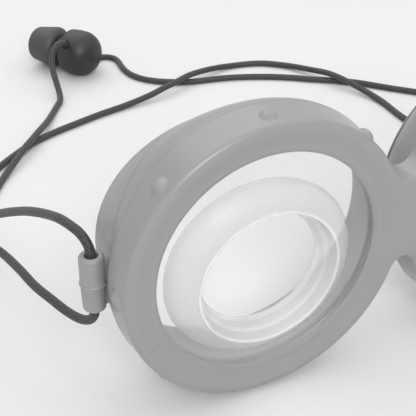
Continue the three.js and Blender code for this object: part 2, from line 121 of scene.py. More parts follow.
def corner_steps(rows, columns):
    """Row and column numbers at the corners of all quads of a grid, given how many quads go each way."""
    row, column = np.meshgrid(np.arange(rows), np.arange(columns), indexing="ij")
    row_corners = np.stack([row, row + 1, row + 1, row], axis=-1)
    return row_corners, np.stack([column, column, column + 1, column + 1], axis=-1)


def grid_quads(rows, columns, wrap_rows=True, wrap_columns=True):
    """Corner numbers of the quads between neighbours of a rows by columns grid, closed where it wraps."""
    row, column = corner_steps(rows - (not wrap_rows), columns - (not wrap_columns))
    return (row % rows * columns + column % columns).reshape(-1, 4)


def from_grid(points, wrap_rows=True, wrap_columns=True):
    """A part, as points and quads, from a (rows, columns, 3) array of points in millimetres."""
    rows, columns = points.shape[:2]
    return points.reshape(-1, 3), grid_quads(rows, columns, wrap_rows, wrap_columns)


def joined(*parts):
    """Several parts as one, with each part's corner numbers moved past the points before it."""
    starts = np.cumsum([0] + [len(points) for points, _ in parts[:-1]])
    points = np.concatenate([points for points, _ in parts])
    return points, np.concatenate([quads + start for (_, quads), start in zip(parts, starts)])


def moved(part, by):
    """The same part at another place."""
    return part[0] + by, part[1]


def mirrored(part):
    """The same part for the other eye: x changes sign, and the corners run the other way round."""
    points, quads = part
    return points * [-1, 1, 1], quads[:, ::-1]


def arc(x, y, radius, start, end, steps=6):
    """Points on a circle of an outline, from one angle to another in degrees."""
    angle = np.radians(np.linspace(start, end, steps + 1))
    return np.stack([x + radius * np.cos(angle), y + radius * np.sin(angle)], axis=1)


def rounded(x, y, radius, start, end, steps=6):
    """The arc that rounds off an outline's square corner at (x, y): its middle lies a radius inside it."""
    middle = math.radians((start + end) / 2)
    inside = np.sign([math.cos(middle), math.sin(middle)]) * radius
    return arc(x - inside[0], y - inside[1], radius, start, end, steps)


def shares(steps):
    """Shares of a way in equal steps, from 0 to 1."""
    return np.linspace(0, 1, steps + 1)


def full_turn(steps):
    """Angles of one full turn in equal steps, each once."""
    return np.linspace(0, 2 * np.pi, steps, endpoint=False)


def revolved(outline, steps):
    """A closed outline of (radius, depth) points carried round Y: x = radius cos t, z = radius sin t."""
    t = full_turn(steps)[:, None]
    radius, depth = np.asarray(outline).T
    depth = np.broadcast_to(depth, (steps, len(depth)))
    return np.stack([np.cos(t) * radius, depth, np.sin(t) * radius], axis=-1)


print("helpers: from_grid, joined, mirrored, arc, rounded, revolved and others")

# %% Mesh helpers
GOGGLES = "goggles"
WELD = 0.0005 * MM
SHARP_ANGLE = 38


def outward(mesh):
    """Welds points that lie together, drops loose ones and turns all faces outwards."""
    work = bmesh.new()
    work.from_mesh(mesh)
    bmesh.ops.remove_doubles(work, verts=work.verts, dist=WELD)
    bmesh.ops.dissolve_degenerate(work, edges=work.edges, dist=WELD)
    bmesh.ops.delete(work, geom=[v for v in work.verts if not v.link_faces], context="VERTS")
    bmesh.ops.recalc_face_normals(work, faces=work.faces)
    work.to_mesh(mesh)
    work.free()


def solid(name, part, uv=None):
    """A welded mesh from a part in millimetres, with its map where it has one."""
    points, quads = part
    mesh = bpy.data.meshes.new(name)
    mesh.vertices.add(len(points))
    mesh.vertices.foreach_set("co", (points * MM).ravel())
    mesh.loops.add(quads.size)
    mesh.loops.foreach_set("vertex_index", quads.ravel())
    mesh.polygons.add(len(quads))
    mesh.polygons.foreach_set("loop_start", np.arange(0, quads.size, 4))
    mesh.update(calc_edges=True)
    if uv is not None:
        mesh.uv_layers.new(name="around_and_along").data.foreach_set("uv", uv.ravel())
    outward(mesh)
    return mesh


def smooth(mesh, sharp=SHARP_ANGLE):
    """Smooth shading, broken at edges that bend by more than an angle in degrees."""
    mesh.shade_smooth()
    mesh.set_sharp_from_angle(angle=math.radians(sharp))


def piece(name, part, finish, nodes, body=GOGGLES, sharp=SHARP_ANGLE, uv=None):
    """One object from a part in millimetres: it rides on a body and stands for the CAD nodes it replaces."""
    mesh = solid(name, part, uv)
    smooth(mesh, sharp)
    mesh.materials.append(finish)
    made = put(name, mesh)
    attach(made, body)
    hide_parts(*nodes)
    print(f"{name}: {len(mesh.polygons)} faces")
    return made


def pair(name, part, finish, node, uv=None):
    """A left piece and its mirror image on the right, with the corners of its map turned round too."""
    other_uv = None if uv is None else uv[:, ::-1]
    piece(f"left_{name}", part, finish, [f"left_{node}"], uv=uv)
    piece(f"right_{name}", mirrored(part), finish, [f"right_{node}"], uv=other_uv)


print("helpers: outward, solid, smooth, piece, pair")

# %% Material helpers
SHADER = "Principled BSDF"


def colour(hex_code):
    """An sRGB hex colour as the linear values that shaders use, with full alpha."""
    part = np.array([int(hex_code[i:i + 2], 16) for i in (0, 2, 4)]) / 255
    linear = np.where(part <= 0.04045, part / 12.92, ((part + 0.055) / 1.055) ** 2.4)
    return (*linear.tolist(), 1.0)


def add(tree, kind, inputs=None, **settings):
    """Adds one shader node, with its settings, and sets or links its inputs."""
    node = tree.nodes.new("ShaderNode" + kind)
    for name, value in settings.items():
        setattr(node, name, value)
    for name, value in (inputs or {}).items():
        if isinstance(value, bpy.types.NodeSocket):
            tree.links.new(value, node.inputs[name])
        else:
            node.inputs[name].default_value = value
    return node


def new_finish(name, **sockets):
    """A material with one Principled shader, whose plain sockets are set by name."""
    finish = bpy.data.materials.new(name)
    finish.use_nodes = True
    for socket, value in sockets.items():
        finish.node_tree.nodes[SHADER].inputs[socket.replace("_", " ")].default_value = value
    return finish, finish.node_tree


def feed(tree, socket, node):
    """Links a node's result to a socket of the shader."""
    tree.links.new(node.outputs[0], tree.nodes[SHADER].inputs[socket])


def calc(tree, operation, *values):
    """The result of one Math node, from numbers or from other nodes' results."""
    return add(tree, "Math", dict(enumerate(values)), operation=operation).outputs[0]


def noise(tree, size_mm, detail):
    """Noise in the object's own coordinates, between 0 and 1, with one repeat in this many millimetres."""
    place = add(tree, "TexCoord").outputs["Object"]
    scale = 1 / (size_mm * MM)
    return add(tree, "TexNoise", {"Vector": place, "Scale": scale, "Detail": detail}).outputs[0]


def shaded(tree, value, stops):
    """Base colour that follows a value through stops, each a position and an sRGB hex colour."""
    ramp = add(tree, "ValToRGB", {0: value})
    for position, _ in stops[2:]:
        ramp.color_ramp.elements.new(position)
    for element, (position, shade) in zip(ramp.color_ramp.elements, stops):
        element.position, element.color = position, colour(shade)
    feed(tree, "Base Color", ramp)
    return ramp.color_ramp


def roughened(tree, value, low, high):
    """Roughness that goes from low to high as a value goes from 0 to 1."""
    feed(tree, "Roughness", add(tree, "MapRange", {0: value, 3: low, 4: high}))


def bumped(tree, height, strength, depth_mm):
    """Shading as if the surface rose by up to a depth in millimetres where a value is high."""
    inputs = {"Height": height, "Strength": strength, "Distance": depth_mm * MM}
    feed(tree, "Normal", add(tree, "Bump", inputs))


print("helpers: colour, add, new_finish, noise, shaded, roughened, bumped and others")

# %% [markdown]
# ## The elastic cord
#
# The strap is one round cord, a latex core in a fine braided cover, about two millimetres thick. It starts
# in the cord lock, curls through the left barrel, lies in a wide loop on the floor, curls through the right
# barrel and comes back to the lock. Its points are the ones that the CAD tubes follow. A curve object would
# do, but a tube worked out here carries its own map of around and along, which the braid needs.

# %% Cord route
CORD_DIAMETER = 1.9
BARREL_FROM_EYE = np.array([-31.8, 10.6, -0.9])
BARREL_MIDDLE = EYE + BARREL_FROM_EYE
LOCK_RADIUS = 7.2
LOCK_MIDDLE = np.array([-12.8, 150.9, LOCK_RADIUS])
LOCK_HEADING = math.radians(125)
LOCK_HOLE_TILT = math.radians(40)
LOCK_CLEAR = 0.6
CORD_START = 0.2

BARREL_CURL = [
    (-3.4, 14, 7.8), (-2.6, 8.5, 9.7), (-1.7, 4.8, 10), (-1.1, 3, 9.75), (-0.5, 1.45, 8.8),
    (-0.1, 0.45, 7.3), (0, 0.02, 5.4), (0, 0, 0), (0, 0, -6), (-0.1, 0.4, -8), (-0.6, 1.7, -9.9),
    (-1.6, 4.2, -11.2), (-3.1, 8.2, -11.6), (-4.6, 12.6, -11.3),
]
LONG_RUN = [
    (-67.7, 22, 34.7), (-69, 29, 31), (-70.5, 36, 26.9), (-73, 46, 20.5), (-75.5, 56, 14), (-76, 67, 8),
    (-73, 78, 3.6), (-66.5, 88.5, 1.5), (-59, 96, 1), (-50.6, 102.9, 1), (-42.1, 108.8, 1),
    (-34.6, 112.2, 1), (-26.5, 114.8, 1), (-17.5, 117.4, 1), (-8.7, 119.1, 1.2), (-0.2, 120.6, 2),
    (5.6, 122.1, 2.8), (11.2, 124.1, 3.1), (16.2, 126.1, 3.3), (25.4, 129.8, 2), (34, 131, 1),
    (43.5, 128.5, 1), (50.6, 122.3, 1.2), (54.4, 115, 2.1), (57, 107.3, 3.3), (59.2, 101.5, 3),
    (61.6, 95.5, 2), (63.5, 87.5, 1.1), (63.2, 74.5, 1), (64, 60, 2.2), (67, 48, 6.5), (69.6, 37.5, 13),
    (70, 28, 17.4), (69.1, 19.4, 18.8),
]
LEFT_RUN = [
    (-69.1, 19.4, 18.7), (-70.1, 26, 18.7), (-71.5, 36, 17.5), (-73, 46, 14), (-72.5, 56, 9),
    (-70.5, 66, 4.5), (-66, 77, 1.6), (-60.5, 86, 1), (-54.9, 93.8, 1.2), (-50, 99.2, 2.1),
    (-45.8, 103.7, 3), (-42.4, 107.3, 3.2), (-39.3, 111.2, 3), (-35.2, 117.1, 1.9), (-31.9, 122.2, 1.2),
    (-28.2, 127.8, 1), (-25.8, 131.2, 1.3), (-24.9, 134.2, 2.2), (-24.6, 137.2, 4), (-24.5, 139.8, 6.4),
    (-24.2, 141.8, 8.8), (-23.5, 143.25, 10.9), (-22.55, 144.15, 12.3), (-21.4, 144.95, 13.15),
    (-20.1, 145.8, 13.4), (-18.8, 146.7, 13.05),
]
RIGHT_RUN = [
    (-6.5, 155.35, 1.3), (-5.1, 156.2, 1), (-3.1, 156.7, 0.96), (-0.9, 156.15, 0.96),
    (0.75, 154.6, 0.96), (1.5, 152.4, 0.96), (1.4, 149.8, 0.96), (1, 146.4, 1), (0.9, 142.8, 1),
    (1.5, 138.9, 1), (3.4, 134.9, 1), (6.5, 131.5, 1), (10.6, 128.7, 1), (16.2, 126, 1),
    (22.9, 124.6, 1), (29.3, 123.1, 1), (39.8, 118.7, 1), (46.8, 114.5, 1), (52, 110.6, 1),
    (57.3, 107, 1), (61.3, 104.2, 1), (65.1, 100.8, 1), (70.2, 95, 1), (75.6, 89.3, 1),
    (79.8, 84.4, 1.2), (82, 78.3, 2.2), (81.6, 71, 4.8), (79.2, 62, 9.8), (76.2, 53.5, 15.4),
    (73.5, 46, 20.5), (70.5, 36, 26.9), (69, 29, 31), (67.7, 22, 34.7),
]

stroke = np.array([math.cos(LOCK_HEADING), math.sin(LOCK_HEADING), 0])
level = np.array([-math.sin(LOCK_HEADING), math.cos(LOCK_HEADING), 0])
hole = level * math.cos(LOCK_HOLE_TILT) + np.array([0, 0, math.sin(LOCK_HOLE_TILT)])
left_curl = np.array(BARREL_CURL) + BARREL_MIDDLE
right_curl = left_curl * [-1, 1, 1]
through_lock = np.array([CORD_START, LOCK_RADIUS / 2, LOCK_RADIUS + LOCK_CLEAR])
into_lock = LOCK_MIDDLE + np.outer(through_lock, hole)
out_of_lock = LOCK_MIDDLE - np.outer(through_lock[::-1], hole)
route = np.concatenate([
    into_lock, LEFT_RUN[::-1], left_curl[::-1], LONG_RUN, right_curl[::-1], RIGHT_RUN[::-1], out_of_lock])
print("cord route:", len(route), "points")

# %% Cord tube
CORD_STEP = 0.7
CORD_SIDES = 14
FINE_STEPS = 60


def smooth_route(points, spacing):
    """A curve through the points, evenly spaced: a centripetal Catmull-Rom spline, whose knots grow with the
    square root of each chord, sampled finely and then walked in equal steps."""
    ends = np.concatenate([[2 * points[0] - points[1]], points, [2 * points[-1] - points[-2]]])
    knots = np.concatenate([[0], np.cumsum(np.linalg.norm(np.diff(ends, axis=0), axis=1) ** 0.5)])
    share = np.linspace(0, 1, FINE_STEPS, endpoint=False)[None, :, None]
    k = [knots[i:len(knots) - 3 + i, None, None] for i in range(4)]
    p = [ends[i:len(ends) - 3 + i, None, :] for i in range(4)]
    t = k[1] + (k[2] - k[1]) * share
    low = [((k[i + 1] - t) * p[i] + (t - k[i]) * p[i + 1]) / (k[i + 1] - k[i]) for i in range(3)]
    mid = [((k[i + 2] - t) * low[i] + (t - k[i]) * low[i + 1]) / (k[i + 2] - k[i]) for i in range(2)]
    fine = ((k[2] - t) * mid[0] + (t - k[1]) * mid[1]) / (k[2] - k[1])
    fine = np.concatenate([fine.reshape(-1, 3), points[-1:]])
    along = np.concatenate([[0], np.cumsum(np.linalg.norm(np.diff(fine, axis=0), axis=1))])
    even = np.linspace(0, along[-1], round(along[-1] / spacing) + 1)
    return np.stack([np.interp(even, along, fine[:, i]) for i in range(3)], axis=1), along[-1]


def tube(path, radius, sides):
    """A circle carried along a path and closed at both ends. Its first direction is the tangent crossed with
    a guide that leans from Z to X as the path steepens, so that it never runs along the path."""
    tangent = np.gradient(path, axis=0)
    tangent /= np.linalg.norm(tangent, axis=1, keepdims=True)
    steep = tangent[:, 2:] ** 2
    guide = (1 - steep) * np.array([0, 0, 1]) + steep * np.array([1, 0, 0])
    side = np.cross(tangent, guide)
    side /= np.linalg.norm(side, axis=1, keepdims=True)
    over = np.cross(side, tangent)
    angle = full_turn(sides)[None, :, None]
    rings = path[:, None] + radius * (np.cos(angle) * side[:, None] + np.sin(angle) * over[:, None])
    ends = np.repeat(path[[0, -1], None], sides, axis=1)
    return np.concatenate([ends[:1], rings, ends[1:]])


cord_path, cord_length = smooth_route(route, CORD_STEP)
cord_rings = tube(cord_path, CORD_DIAMETER / 2, CORD_SIDES)
ring_at, side_at = corner_steps(len(cord_rings) - 1, CORD_SIDES)
cord_uv = np.stack([side_at / CORD_SIDES, ring_at * CORD_STEP], axis=-1)
print(f"cord length: {cord_length:.0f} mm")

# %% [markdown]
# The cover of an elastic cord is braided polyester: fine yarns cross on a slant, so the cord looks matt and
# softly ribbed, and light catches the yarns that lie square to it. Two slanted waves over the map of around
# and along give the crossing yarns, raised by a bump, and their crests are painted lighter as a painted
# highlight. Real yarns are about 0.3 mm wide, and they are drawn wider to show.

# %% Cord finish and piece
BRAID_YARNS = 6
BRAID_PITCH = 2.4
BRAID_DEPTH = 0.06
CORD_SHARP_ANGLE = 60


def braided_polyester():
    """Braided polyester yarn: matt, with a little sheen. Each family of yarns is the sine of the turns round
    the cord plus or minus those along it. The higher of the two waves shows, raised, with a painted
    highlight: it is coloured lighter."""
    finish, tree = new_finish("braided polyester cord", Roughness=0.6, Sheen_Weight=0.1)
    place = add(tree, "SeparateXYZ", {0: add(tree, "UVMap").outputs[0]}).outputs
    waves = []
    for lean in (1, -1):
        around = calc(tree, "MULTIPLY", place[0], BRAID_YARNS * 2 * math.pi)
        along = calc(tree, "MULTIPLY", place[1], lean * 2 * math.pi / BRAID_PITCH)
        waves.append(calc(tree, "SINE", calc(tree, "ADD", around, along)))
    weave = calc(tree, "MAXIMUM", *waves)
    level = add(tree, "MapRange", {0: weave, 1: -1.0, 2: 1.0}).outputs[0]
    # Painted highlight: the raised crests of the weave get the lighter of the two colours.
    shaded(tree, level, [(0, "282828"), (1, "404040")])
    bumped(tree, weave, strength=0.35, depth_mm=BRAID_DEPTH)
    return finish


stretches = ("left_barrel", "right_barrel", "lock", "long", "left", "right")
cord_nodes = [f"strap_cord_{stretch}" for stretch in stretches]
cord = piece(
    "strap_cord", from_grid(cord_rings, wrap_rows=False), braided_polyester(), cord_nodes,
    sharp=CORD_SHARP_ANGLE, uv=cord_uv)

# %% [markdown]
# ## The front frame
#
# The frame is one moulding: two rings whose faces rise from the opening to a rounded outer edge, a skirt
# behind each that is cut back at nose and temple, and a bridge with a round notch above and below. Sweeping
# a circle would leave a seam where the rings meet the bridge. Here one outline runs round the left ring and
# into both notches up to the plane between the eyes. Each place on it gives a column of points, from the
# opening over the face and the edge to the back, and the mirrored half closes it without a seam.

# %% Front frame sizes, in millimetres
OPENING_RADIUS = 23.4
CHAMFER_WIDTH = 0.7
CHAMFER_DEPTH = 0.35
FACE_WIDTH = 4.9
FACE_THICKNESS = 1.0
EDGE_ROUND = 1.7
SKIRT_WALL = 1.2
SKIRT_FLARE = 0.5
SKIRT_DEPTH = 7.8
SKIRT_DEPTH_TEMPLE = 6.4
SKIRT_DEPTH_NOSE = 4.3
TEMPLE_SCALLOP = (15, 52)
NOSE_SCALLOP = (10, 46)
FACE_LEAN = math.radians(17)
FACE_EASE = 0.8
EDGE_DROP = 1.1
RIM_ROUND = 0.3
INNER_CORNER = 0.5
TOP_NOTCH = 11.2
BOTTOM_NOTCH = 7.8
CREST_RADIUS = OPENING_RADIUS + FACE_WIDTH
EDGE_RADIUS = CREST_RADIUS + EDGE_ROUND
SKIRT_BORE = EDGE_RADIUS - SKIRT_WALL
CREST_SINK = EDGE_ROUND - FACE_DISH
WALL_START = EDGE_DROP - FACE_DISH
EYE_OFFSET = -EYE[0]
CHAMFER_LAYERS = (0, 0.06, 0.94)
FACE_LAYERS = (0, 0.02, 0.08, 0.16, 0.24, 0.35, 0.55, 0.75, 0.86, 0.92, 0.96, 1)
CREST_STEPS, EDGE_STEPS, WALL_STEPS, BACK_STEPS = 4, 10, 8, 3
TOP_STEPS, RING_COLUMNS, LOW_STEPS, PLANE_STEPS = 12, 180, 10, 13


def smoothstep(value, low, high):
    """0 below the first limit and 1 above the second, with a level start and end: 3 s^2 - 2 s^3."""
    share = np.clip((value - low) / (high - low), 0, 1)
    return share * share * (3 - 2 * share)


def skirt_depth(toward_nose, height):
    """How deep the skirt is in a direction from the ring's middle: full, but cut back at temple and nose."""
    away = np.degrees(np.abs(np.arctan2(height, toward_nose)))
    side = SKIRT_DEPTH_TEMPLE + (SKIRT_DEPTH - SKIRT_DEPTH_TEMPLE) * smoothstep(180 - away, *TEMPLE_SCALLOP)
    return SKIRT_DEPTH_NOSE + (side - SKIRT_DEPTH_NOSE) * smoothstep(away, *NOSE_SCALLOP)


def wall_flare(y):
    """How far the wall stands outside its front edge at a depth: it opens evenly toward the back."""
    return np.interp(y, [WALL_START, SKIRT_DEPTH], [0, SKIRT_FLARE])


def face_depth(radius):
    """Depth of the face at a distance from the eyecup's axis: level beside the opening, an eased bend into a
    straight rise toward the front, and a round crest that ends level."""
    crest = CREST_RADIUS - EDGE_ROUND * math.sin(FACE_LEAN)
    foot = crest - (EDGE_ROUND * math.cos(FACE_LEAN) - CREST_SINK) / math.tan(FACE_LEAN)
    past = np.asarray(radius) - foot + FACE_EASE / 2
    eased = np.clip(past, 0, FACE_EASE) ** 2 / (2 * FACE_EASE) + np.maximum(past - FACE_EASE, 0)
    rise = math.tan(FACE_LEAN) * eased
    arch = np.sqrt(EDGE_ROUND ** 2 - np.clip(CREST_RADIUS - radius, 0, EDGE_ROUND) ** 2) - CREST_SINK
    return -np.where(radius > crest, arch, rise)


def notch(height):
    """The arc that touches both rings and comes to this height midway: radius, middle and touching angle."""
    radius = (height ** 2 + EYE_OFFSET ** 2 - EDGE_RADIUS ** 2) / (2 * (EDGE_RADIUS - height))
    return radius, height + radius, math.degrees(math.atan2(height + radius, EYE_OFFSET))


print("skirt depth at nose, top and temple:", skirt_depth(np.array([1, 0, -1.0]), np.array([0, 1, 0.0])))

# %% Front frame outline and columns


def frame_outline():
    """Outline points and outward directions, anticlockwise from the plane between the eyes: the top notch's
    arc, the ring and the bottom notch's arc."""
    radius, middle, touch = notch(TOP_NOTCH)
    low_radius, low_middle, low_touch = notch(BOTTOM_NOTCH)
    top_way = arc(0, 0, 1, -90, touch - 180, TOP_STEPS)
    ring_way = arc(0, 0, 1, touch, 360 - low_touch, RING_COLUMNS)[1:-1]
    low_way = arc(0, 0, 1, 180 - low_touch, 90, LOW_STEPS)
    top = [EYE_OFFSET, middle] + radius * top_way
    low = [EYE_OFFSET, -low_middle] + low_radius * low_way
    outline = np.concatenate([top, EDGE_RADIUS * ring_way, low])
    return outline, np.concatenate([-top_way, ring_way, -low_way])


def frame_half():
    """Left half of the frame as layers of columns: opening, face, rounded edge, wall, rim and back. The last
    columns lie on the plane between the eyes, where only face and back are kept."""
    outline, way = frame_outline()
    count = len(outline)
    up_plane = shares(PLANE_STEPS)[1:-1, None]
    inset = SKIRT_WALL - RIM_ROUND
    tall = TOP_NOTCH + BOTTOM_NOTCH
    plane_front = [EYE_OFFSET, EDGE_ROUND - BOTTOM_NOTCH] + up_plane * [0, tall - 2 * EDGE_ROUND]
    plane_back = [EYE_OFFSET, inset - BOTTOM_NOTCH] + up_plane * [0, tall - 2 * inset]
    front = np.concatenate([outline - EDGE_ROUND * way, plane_front])
    back = np.concatenate([outline - inset * way, plane_back])
    outline = np.concatenate([outline, plane_front])
    way = np.concatenate([way, 0 * plane_front])
    front_way = front / np.linalg.norm(front, axis=1, keepdims=True)
    back_way = back / np.linalg.norm(back, axis=1, keepdims=True)
    depth = skirt_depth(*back.T)[:, None]
    layers = []

    def lay(flat, y):
        """Adds a layer: a place (x, z) in each column, at one depth or at each column's own."""
        depths = np.broadcast_to(y, (len(flat), 1))
        layers.append(np.concatenate([flat[:, :1], depths, flat[:, 1:]], axis=1))

    lay(OPENING_RADIUS * front_way, FACE_THICKNESS)
    for share in CHAMFER_LAYERS:
        radius = OPENING_RADIUS + share * CHAMFER_WIDTH
        lay(radius * front_way, CHAMFER_DEPTH * (1 - share))
    for share in FACE_LAYERS:
        radius = OPENING_RADIUS + CHAMFER_WIDTH + share * (FACE_WIDTH - CHAMFER_WIDTH)
        lay(radius * front_way, face_depth(radius))
    crest = CREST_RADIUS * front_way
    for share in shares(CREST_STEPS)[1:]:
        lay(crest + share * (front - crest), -FACE_DISH)
    edge_start = len(layers) - 1
    edge = arc(0, 0, 1, -90, 0, EDGE_STEPS)[1:] * [EDGE_ROUND, EDGE_DROP] + [-EDGE_ROUND, WALL_START]
    for offset, y in edge:
        lay(outline + offset * way, y)
    rim_y = depth - RIM_ROUND
    for share in shares(WALL_STEPS)[1:]:
        y = WALL_START + share * (rim_y - WALL_START)
        lay(outline + wall_flare(y) * way, y)
    rim_out = wall_flare(rim_y)
    for offset, y in arc(-RIM_ROUND, 0, RIM_ROUND, 0, 90)[1:]:
        lay(outline + (rim_out + offset) * way, rim_y + y)
    edge_end = len(layers)
    lay(back, depth)
    corner = SKIRT_BORE + RIM_ROUND
    for share in shares(BACK_STEPS)[1:]:
        lay(back + share * (corner * back_way - back), depth)
    for offset, y in arc(0, 0, RIM_ROUND, 90, 180)[1:]:
        lay((corner + offset) * back_way, rim_y + y)
    for radius, y in rounded(SKIRT_BORE, FACE_THICKNESS, INNER_CORNER, 0, -90):
        lay(radius * back_way, y)

    points = np.stack(layers, axis=1)
    quads = grid_quads(len(points), len(layers)).reshape(len(points), len(layers), 4)
    column = np.arange(len(points))
    on_plane = (column >= count) | ((column + 1) % len(points) >= count)
    kept = np.ones(quads.shape[:2], bool)
    kept[np.ix_(on_plane, np.arange(edge_start, edge_end))] = False
    return points.reshape(-1, 3), quads[kept]


print("frame outline points:", len(frame_outline()[0]))

# %% [markdown]
# Behind the skirt the wall closes in toward the rear rim. The frame covers it at the nose and over the top,
# and the rear shell shows at the temple. The seam between them starts at the skirt's rim beside the strap
# barrel and climbs to the rear rim. Both pieces take their outer wall from one function, so they stay flush
# along the seam.

# %% Eyecup wall and the seam
SHELL_GAP = 0.3
SHELL_RADIUS = SKIRT_BORE - SHELL_GAP
SHELL_WALL = 1.6
SHELL_RIM = SHELL_WALL / 2
SHELL_TAPER = 1.2
SHELL_TAPER_TOP = 1.3
SHELL_DEPTH_TEMPLE = 21.6
SHELL_DEPTH_NOSE = 15.2
SHELL_DEPTH_POWER = 2.4
WALL_BEND = 1.7
SEAM_START, SEAM_END = 15, 74
SEAM_BEND = 1.15
SEAM_GAP = 0.75
SEAM_ROUND = 0.2
COVER_LAP = 0.5
COVER_WALL = 1.0
COVER_PROUD = 0.02
COVER_STEPS = 11
DIRECTIONS = 256
TURN = full_turn(DIRECTIONS)[:, None]
TOWARD_NOSE, HEIGHT = np.cos(TURN), np.sin(TURN)
FROM_TEMPLE = 180 - np.degrees(np.abs(np.arctan2(HEIGHT, TOWARD_NOSE)))

skirt_y = skirt_depth(TOWARD_NOSE, HEIGHT)
rear_share = ((1 - TOWARD_NOSE) / 2) ** SHELL_DEPTH_POWER
rear_y = SHELL_DEPTH_NOSE + (SHELL_DEPTH_TEMPLE - SHELL_DEPTH_NOSE) * rear_share - SHELL_RIM
rear_radius = SHELL_RADIUS - SHELL_TAPER - SHELL_TAPER_TOP * HEIGHT ** 2
climb = np.clip((FROM_TEMPLE - SEAM_START) / (SEAM_END - SEAM_START), 0, 1) ** SEAM_BEND
seam_top = rear_y - SEAM_GAP - SEAM_ROUND
seam_y = np.maximum(skirt_y, SKIRT_DEPTH_TEMPLE + (seam_top - SKIRT_DEPTH_TEMPLE) * climb)


def eyecup_wall(y):
    """Radius of the outer wall at a depth in every direction: from the skirt's rim to the rear rim it closes
    in with a power of the way between them, WALL_BEND."""
    start = skirt_y - RIM_ROUND
    rim_radius = EDGE_RADIUS + wall_flare(start)
    way = np.clip((y - start) / (rear_y - start), 0, 1)
    return rim_radius + (rear_radius - rim_radius) * way ** WALL_BEND


def turned_loop(stations):
    """A closed loop of (radius, depth) stations, each given in every direction, carried round the axis."""
    radius, y = (
        np.concatenate([np.broadcast_to(value, TURN.shape) for value in values], axis=1)
        for values in zip(*stations))
    return from_grid(np.stack([TOWARD_NOSE * radius, y, HEIGHT * radius], axis=-1))


def frame_cover():
    """The frame behind its skirt: a thin wall from just under the skirt's rim to the seam."""
    start = skirt_y - COVER_LAP
    depths = [start + way * (seam_y - start) for way in shares(COVER_STEPS)]
    outside = [(eyecup_wall(y) + COVER_PROUD, y) for y in depths]
    return turned_loop(outside + [(eyecup_wall(y) - COVER_WALL, y) for y in depths[::-1]])


print("seam depth at temple and top:", seam_y[[DIRECTIONS // 2, DIRECTIONS // 4], 0].round(1))

# %% [markdown]
# Small round nubs stand on each ring's wall, an eighth of a turn apart with none at the bridge. A plain ball
# would meet the wall in a hard line, while a moulded nub flows into it, so its height is a cap that eases
# out into the wall over a short fillet.

# %% Nubs
NUB_RADIUS = 2.0
NUB_PROUD = 0.95
NUB_BACK = 2.7
NUB_REACH = 2.7
NUB_FILLET = 0.3
NUB_SINK = 0.03
NUB_STEPS, NUB_SIDES = 17, 32
NUB_COUNT = 8


def nub(turn):
    """A ball's cap on the wall: with c the cap's height over the wall, the nub's height is half of
    c + sqrt(c^2 + fillet^2), which follows the cap and eases out into the wall. Its foot sinks a little."""
    reach = NUB_REACH * shares(NUB_STEPS)[:, None]
    angle = full_turn(NUB_SIDES)[None]
    across = reach * np.cos(angle)
    y = NUB_BACK + reach * np.sin(angle)
    wall = EDGE_RADIUS + wall_flare(y)
    cap = np.sqrt(np.maximum(NUB_RADIUS ** 2 - reach ** 2, 0)) - NUB_RADIUS + NUB_PROUD
    height = (cap + np.sqrt(cap ** 2 + NUB_FILLET ** 2)) / 2 - NUB_SINK
    radial = np.sqrt(wall ** 2 - across ** 2) + height
    toward, rise = math.cos(turn), math.sin(turn)
    points = np.stack([radial * toward - across * rise, y, radial * rise + across * toward], axis=-1)
    return from_grid(points, wrap_rows=False)


nubs = [nub(2 * math.pi * i / NUB_COUNT) for i in range(1, NUB_COUNT)]
half = moved(joined(frame_half(), frame_cover(), *nubs), EYE)
print("half a frame:", len(half[1]), "faces, with", len(nubs), "nubs")

# %% Moulded plastic and the front frame piece
GLOSS_SPREAD = 0.04


def moulded_plastic(name, shade, worn, gloss):
    """Satin plastic from a spark-eroded mould: even colour, a very fine grain that breaks up the gloss, and
    faint clouding where the plastic flowed and has been handled."""
    finish, tree = new_finish(name, IOR=1.53, Roughness=gloss)
    cloud = noise(tree, size_mm=14, detail=3.0)
    shaded(tree, cloud, [(0, worn), (1, shade)]).interpolation = "EASE"
    roughened(tree, cloud, gloss - GLOSS_SPREAD, gloss + GLOSS_SPREAD)
    bumped(tree, noise(tree, size_mm=0.35, detail=2.0), strength=0.08, depth_mm=0.05)
    return finish


frame_abs = moulded_plastic("moulded ABS, frame", "9C9C9C", "989898", 0.29)
whole = joined(half, mirrored(half))
piece("front_frame_moulding", whole, frame_abs, ["front_frame"])

# %% [markdown]
# ## The lenses and their seals
#
# Each lens is a flat disc of clear polycarbonate, moulded and hard coated, so it is seen only by its
# reflections and by the rim. The outline is a rectangle with rounded corners, turned about the lens axis.
# The rubber seal round it is hidden between the frame and the rear shell, so its CAD ring stays and gets its
# rubber finish.

# %% Lens pieces
LENS_RADIUS = (lens_high[0] - lens_low[0]) / 2
LENS_FRONT, LENS_BACK = lens_low[1] - EYE[1], lens_high[1] - EYE[1]
LENS_ROUND = 0.3
LENS_STEPS = 128


def lens():
    """A disc: its outline runs from the axis over both rounded edges and back to the axis."""
    outline = np.concatenate([
        [[0, LENS_FRONT], [LENS_RADIUS / 2, LENS_FRONT]],
        rounded(LENS_RADIUS, LENS_FRONT, LENS_ROUND, -90, 0, 4),
        rounded(LENS_RADIUS, LENS_BACK, LENS_ROUND, 0, 90, 4),
        [[LENS_RADIUS / 2, LENS_BACK], [0, LENS_BACK]],
    ])
    return moved(from_grid(revolved(outline, LENS_STEPS), wrap_columns=False), EYE)


